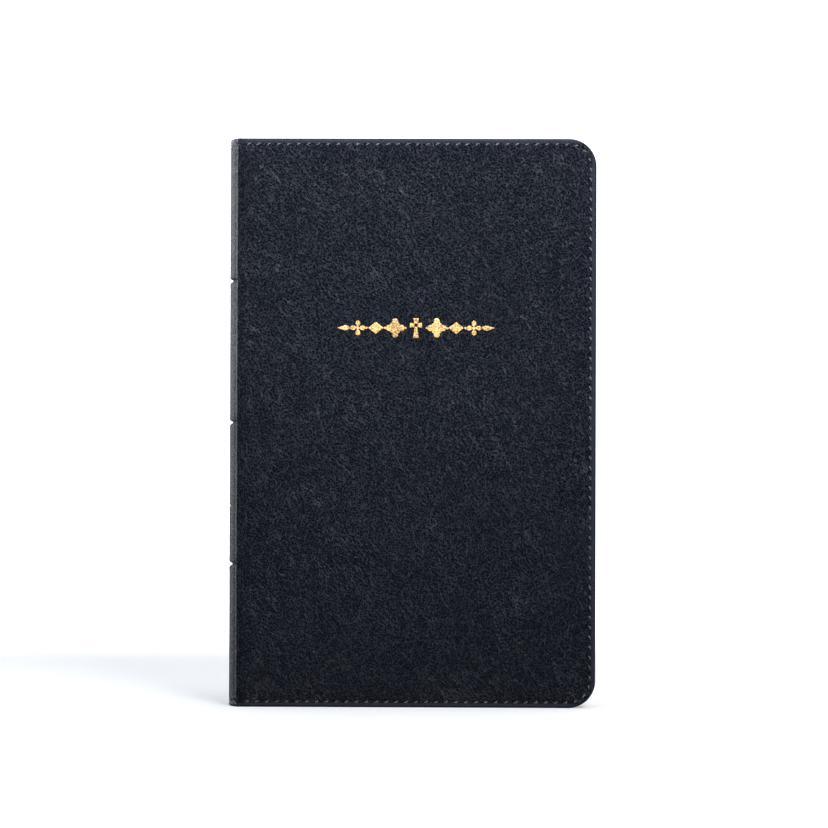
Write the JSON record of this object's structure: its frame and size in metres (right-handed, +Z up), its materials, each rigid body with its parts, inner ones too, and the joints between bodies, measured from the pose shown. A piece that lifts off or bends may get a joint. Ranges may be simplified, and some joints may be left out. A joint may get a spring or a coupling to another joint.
{
  "type": "bible",
  "caption": "Standing leather-bound bible with a rounded spine, stitched flexible covers that open flat, and sewn page sections that fan out with each cover.",
  "frame": {"origin": "centre of the closed book's footprint, on the surface that it stands on", "axes": "+Z up from tail to head; +X from the spine to the fore edge; the front cover faces -Y"},
  "size_m": [0.152, 0.026, 0.235],
  "materials": {
    "leather": "fine pebbled grain, satin, navy black",
    "cover_board": "flexible grey board, matte",
    "spine_card": "thin grey-brown card, matte",
    "lining_paper": "brown kraft paper, matte",
    "super_cloth": "open-weave starched cotton, matte",
    "sewing_thread": "waxed linen thread, satin",
    "band_cloth": "gold and dark striped woven band",
    "ribbon": "satin ribbon, dark blue",
    "gold_foil": "stamped gold foil over leather grain",
    "stitching_thread": "grey polyester thread",
    "endpaper": "ivory endpaper, matte",
    "page_paper": "thin ivory pages with gilt edges"
  },
  "bodies": {
    "spine": {"spine_leather": "leather", "spine_inlay": "spine_card", "spine_lining": "lining_paper", "super_cloth": "super_cloth", "sewing_thread_1": "sewing_thread", "sewing_thread_2": "sewing_thread", "sewing_thread_3": "sewing_thread", "sewing_thread_4": "sewing_thread", "sewing_thread_5": "sewing_thread", "head_band": "band_cloth", "tail_band": "band_cloth", "ribbon_marker": "ribbon", "spine_foil_ornament": "gold_foil", "spine_head_stitching": "stitching_thread", "spine_tail_stitching": "stitching_thread", "front_joint_leather": "leather", "back_joint_leather": "leather"},
    "front_cover": {"front_cover_leather": "leather", "front_cover_board": "cover_board", "front_pastedown": "endpaper", "front_cover_stitching": "stitching_thread", "front_foil_ornament": "gold_foil"},
    "back_cover": {"back_cover_leather": "leather", "back_cover_board": "cover_board", "back_pastedown": "endpaper", "back_cover_stitching": "stitching_thread"},
    "front_flyleaf": {"front_flyleaf": "endpaper"},
    "back_flyleaf": {"back_flyleaf": "endpaper"},
    "section_01": {"section_01": "page_paper"},
    "section_02": {"section_02": "page_paper"},
    "section_03": {"section_03": "page_paper"},
    "section_04": {"section_04": "page_paper"},
    "section_05": {"section_05": "page_paper"},
    "section_06": {"section_06": "page_paper"},
    "section_07": {"section_07": "page_paper"},
    "section_08": {"section_08": "page_paper"},
    "section_09": {"section_09": "page_paper"},
    "section_10": {"section_10": "page_paper"},
    "section_11": {"section_11": "page_paper"},
    "section_12": {"section_12": "page_paper"},
    "section_13": {"section_13": "page_paper"},
    "section_14": {"section_14": "page_paper"},
    "section_15": {"section_15": "page_paper"},
    "section_16": {"section_16": "page_paper"},
    "section_17": {"section_17": "page_paper"},
    "section_18": {"section_18": "page_paper"}
  },
  "joints": [
    {"name": "front_cover_hinge", "type": "hinge", "parent": "spine", "child": "front_cover", "pos_m": [-0.071, -0.0132, 0.1175], "axis": [0, 0, 1], "range_deg": [-180, 0]},
    {"name": "back_cover_hinge", "type": "hinge", "parent": "spine", "child": "back_cover", "pos_m": [-0.071, 0.0132, 0.1175], "axis": [0, 0, 1], "range_deg": [0, 180]},
    {"name": "front_flyleaf_turn", "type": "hinge", "parent": "spine", "child": "front_flyleaf", "pos_m": [-0.0701, -0.0106, 0.1175], "axis": [0, 0, 1], "range_deg": [-70, 0]},
    {"name": "back_flyleaf_turn", "type": "hinge", "parent": "spine", "child": "back_flyleaf", "pos_m": [-0.0701, 0.0106, 0.1175], "axis": [0, 0, 1], "range_deg": [0, 70]},
    {"name": "section_01_turn", "type": "hinge", "parent": "spine", "child": "section_01", "pos_m": [-0.06999, -0.00983, 0.1175], "axis": [0, 0, 1], "range_deg": [-62, 0]},
    {"name": "section_02_turn", "type": "hinge", "parent": "spine", "child": "section_02", "pos_m": [-0.07013, -0.0087, 0.1175], "axis": [0, 0, 1], "range_deg": [-58, 0]},
    {"name": "section_03_turn", "type": "hinge", "parent": "spine", "child": "section_03", "pos_m": [-0.07024, -0.00756, 0.1175], "axis": [0, 0, 1], "range_deg": [-54, 0]},
    {"name": "section_04_turn", "type": "hinge", "parent": "spine", "child": "section_04", "pos_m": [-0.07034, -0.00642, 0.1175], "axis": [0, 0, 1], "range_deg": [-50, 0]},
    {"name": "section_05_turn", "type": "hinge", "parent": "spine", "child": "section_05", "pos_m": [-0.07043, -0.00529, 0.1175], "axis": [0, 0, 1], "range_deg": [-46, 0]},
    {"name": "section_06_turn", "type": "hinge", "parent": "spine", "child": "section_06", "pos_m": [-0.07049, -0.00415, 0.1175], "axis": [0, 0, 1], "range_deg": [-42, 0]},
    {"name": "section_07_turn", "type": "hinge", "parent": "spine", "child": "section_07", "pos_m": [-0.07054, -0.00301, 0.1175], "axis": [0, 0, 1], "range_deg": [-38, 0]},
    {"name": "section_08_turn", "type": "hinge", "parent": "spine", "child": "section_08", "pos_m": [-0.07058, -0.00188, 0.1175], "axis": [0, 0, 1], "range_deg": [-34, 0]},
    {"name": "section_09_turn", "type": "hinge", "parent": "spine", "child": "section_09", "pos_m": [-0.0706, -0.00074, 0.1175], "axis": [0, 0, 1], "range_deg": [-30, 0]},
    {"name": "section_10_turn", "type": "hinge", "parent": "spine", "child": "section_10", "pos_m": [-0.0706, 0.00074, 0.1175], "axis": [0, 0, 1], "range_deg": [0, 30]},
    {"name": "section_11_turn", "type": "hinge", "parent": "spine", "child": "section_11", "pos_m": [-0.07058, 0.00188, 0.1175], "axis": [0, 0, 1], "range_deg": [0, 34]},
    {"name": "section_12_turn", "type": "hinge", "parent": "spine", "child": "section_12", "pos_m": [-0.07054, 0.00301, 0.1175], "axis": [0, 0, 1], "range_deg": [0, 38]},
    {"name": "section_13_turn", "type": "hinge", "parent": "spine", "child": "section_13", "pos_m": [-0.07049, 0.00415, 0.1175], "axis": [0, 0, 1], "range_deg": [0, 42]},
    {"name": "section_14_turn", "type": "hinge", "parent": "spine", "child": "section_14", "pos_m": [-0.07043, 0.00529, 0.1175], "axis": [0, 0, 1], "range_deg": [0, 46]},
    {"name": "section_15_turn", "type": "hinge", "parent": "spine", "child": "section_15", "pos_m": [-0.07034, 0.00642, 0.1175], "axis": [0, 0, 1], "range_deg": [0, 50]},
    {"name": "section_16_turn", "type": "hinge", "parent": "spine", "child": "section_16", "pos_m": [-0.07024, 0.00756, 0.1175], "axis": [0, 0, 1], "range_deg": [0, 54]},
    {"name": "section_17_turn", "type": "hinge", "parent": "spine", "child": "section_17", "pos_m": [-0.07013, 0.0087, 0.1175], "axis": [0, 0, 1], "range_deg": [0, 58]},
    {"name": "section_18_turn", "type": "hinge", "parent": "spine", "child": "section_18", "pos_m": [-0.06999, 0.00983, 0.1175], "axis": [0, 0, 1], "range_deg": [0, 62]}
  ],
  "couplings": [
    {"joint": "front_flyleaf_turn", "follows": "front_cover_hinge", "ratio": 0.38888},
    {"joint": "back_flyleaf_turn", "follows": "back_cover_hinge", "ratio": 0.38888},
    {"joint": "section_01_turn", "follows": "front_cover_hinge", "ratio": 0.34444},
    {"joint": "section_02_turn", "follows": "front_cover_hinge", "ratio": 0.32222},
    {"joint": "section_03_turn", "follows": "front_cover_hinge", "ratio": 0.3},
    {"joint": "section_04_turn", "follows": "front_cover_hinge", "ratio": 0.27777},
    {"joint": "section_05_turn", "follows": "front_cover_hinge", "ratio": 0.25555},
    {"joint": "section_06_turn", "follows": "front_cover_hinge", "ratio": 0.23333},
    {"joint": "section_07_turn", "follows": "front_cover_hinge", "ratio": 0.21111},
    {"joint": "section_08_turn", "follows": "front_cover_hinge", "ratio": 0.18888},
    {"joint": "section_09_turn", "follows": "front_cover_hinge", "ratio": 0.16666},
    {"joint": "section_10_turn", "follows": "back_cover_hinge", "ratio": 0.16666},
    {"joint": "section_11_turn", "follows": "back_cover_hinge", "ratio": 0.18888},
    {"joint": "section_12_turn", "follows": "back_cover_hinge", "ratio": 0.21111},
    {"joint": "section_13_turn", "follows": "back_cover_hinge", "ratio": 0.23333},
    {"joint": "section_14_turn", "follows": "back_cover_hinge", "ratio": 0.25555},
    {"joint": "section_15_turn", "follows": "back_cover_hinge", "ratio": 0.27777},
    {"joint": "section_16_turn", "follows": "back_cover_hinge", "ratio": 0.3},
    {"joint": "section_17_turn", "follows": "back_cover_hinge", "ratio": 0.32222},
    {"joint": "section_18_turn", "follows": "back_cover_hinge", "ratio": 0.34444}
  ]
}
